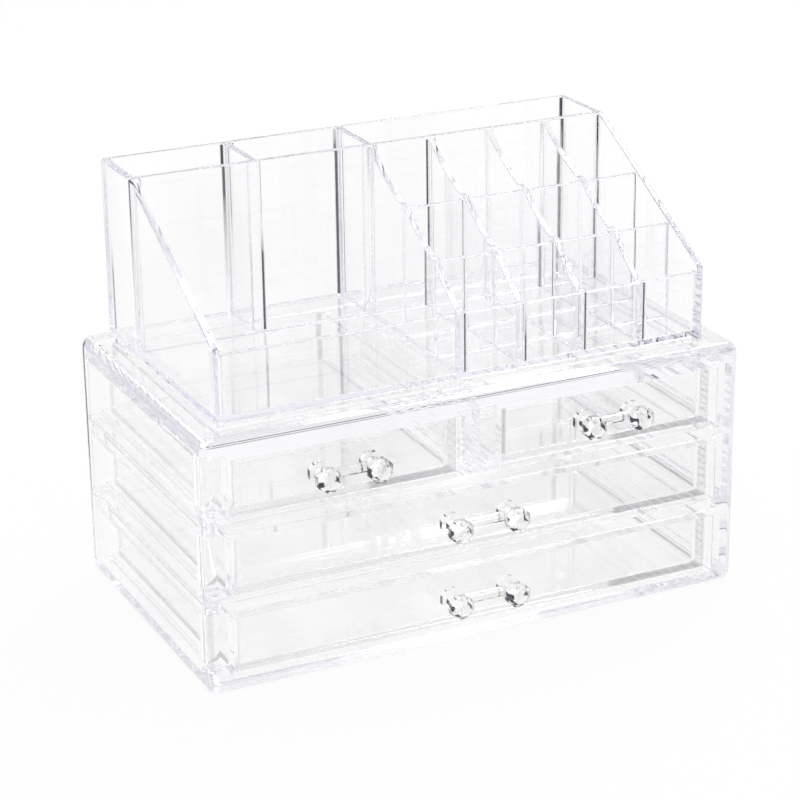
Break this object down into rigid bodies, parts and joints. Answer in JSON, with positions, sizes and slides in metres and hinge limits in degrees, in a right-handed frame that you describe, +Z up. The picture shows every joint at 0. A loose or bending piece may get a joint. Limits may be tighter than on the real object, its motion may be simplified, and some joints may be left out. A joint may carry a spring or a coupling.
{
  "type": "makeup organizer",
  "caption": "Clear acrylic makeup organizer: a low casing of sliding drawers with a lift-off tray of tall bins, a long compartment and stepped lipstick slots.",
  "frame": {"origin": "middle of the casing's underside, on the surface that it stands on", "axes": "+X to the right seen from the front, +Y to the back, +Z up; the drawers open towards -Y"},
  "size_m": [0.24, 0.1464, 0.185],
  "materials": {
    "casing_acrylic": "clear, polished",
    "drawer_acrylic": "clear, polished",
    "handle_acrylic": "clear, polished",
    "tray_acrylic": "clear, polished"
  },
  "bodies": {
    "casing": {"base_panel": "casing_acrylic", "left_side": "casing_acrylic", "right_side": "casing_acrylic", "back_panel": "casing_acrylic", "post_left": "casing_acrylic", "post_right": "casing_acrylic", "post_centre": "casing_acrylic", "divider_panel": "casing_acrylic", "deck_panel": "casing_acrylic", "tray_rim": "casing_acrylic", "rail_lower": "casing_acrylic", "shelf_lower": "casing_acrylic", "cleat_lower_left": "casing_acrylic", "cleat_lower_right": "casing_acrylic", "rail_upper": "casing_acrylic", "shelf_upper": "casing_acrylic", "cleat_upper_left": "casing_acrylic", "cleat_upper_right": "casing_acrylic", "guide_bottom_left": "casing_acrylic", "guide_bottom_right": "casing_acrylic", "guide_middle_left": "casing_acrylic", "guide_middle_right": "casing_acrylic", "guide_top_left": "casing_acrylic", "guide_top_right": "casing_acrylic", "guide_top_inner_left": "casing_acrylic", "guide_top_inner_right": "casing_acrylic"},
    "bottom_drawer": {"drawer_bottom": "drawer_acrylic", "stud_bottom_left": "handle_acrylic", "stud_bottom_right": "handle_acrylic", "bar_bottom": "handle_acrylic"},
    "middle_drawer": {"drawer_middle": "drawer_acrylic", "stud_middle_left": "handle_acrylic", "stud_middle_right": "handle_acrylic", "bar_middle": "handle_acrylic"},
    "top_left_drawer": {"drawer_top_left": "drawer_acrylic", "stud_top_left_left": "handle_acrylic", "stud_top_left_right": "handle_acrylic", "bar_top_left": "handle_acrylic"},
    "top_right_drawer": {"drawer_top_right": "drawer_acrylic", "stud_top_right_left": "handle_acrylic", "stud_top_right_right": "handle_acrylic", "bar_top_right": "handle_acrylic"},
    "tray": {"tray_floor": "tray_acrylic", "tray_front_wall": "tray_acrylic", "tray_middle_wall": "tray_acrylic", "tray_back_wall": "tray_acrylic", "tray_end_left": "tray_acrylic", "tray_end_right": "tray_acrylic", "bin_divider_left": "tray_acrylic", "bin_divider_right": "tray_acrylic", "row_wall_front": "tray_acrylic", "row_wall_rear": "tray_acrylic", "slot_wall_1": "tray_acrylic", "slot_wall_2": "tray_acrylic", "slot_wall_3": "tray_acrylic", "slot_wall_4": "tray_acrylic"}
  },
  "joints": [
    {"name": "bottom_drawer_slide", "type": "slide", "parent": "casing", "child": "bottom_drawer", "axis": [0, -1, 0], "range_m": [0, 0.095]},
    {"name": "middle_drawer_slide", "type": "slide", "parent": "casing", "child": "middle_drawer", "axis": [0, -1, 0], "range_m": [0, 0.095]},
    {"name": "top_left_drawer_slide", "type": "slide", "parent": "casing", "child": "top_left_drawer", "axis": [0, -1, 0], "range_m": [0, 0.095]},
    {"name": "top_right_drawer_slide", "type": "slide", "parent": "casing", "child": "top_right_drawer", "axis": [0, -1, 0], "range_m": [0, 0.095]},
    {"name": "tray_lift", "type": "slide", "parent": "casing", "child": "tray", "axis": [0, 0, 1], "range_m": [0, 0.04]}
  ]
}
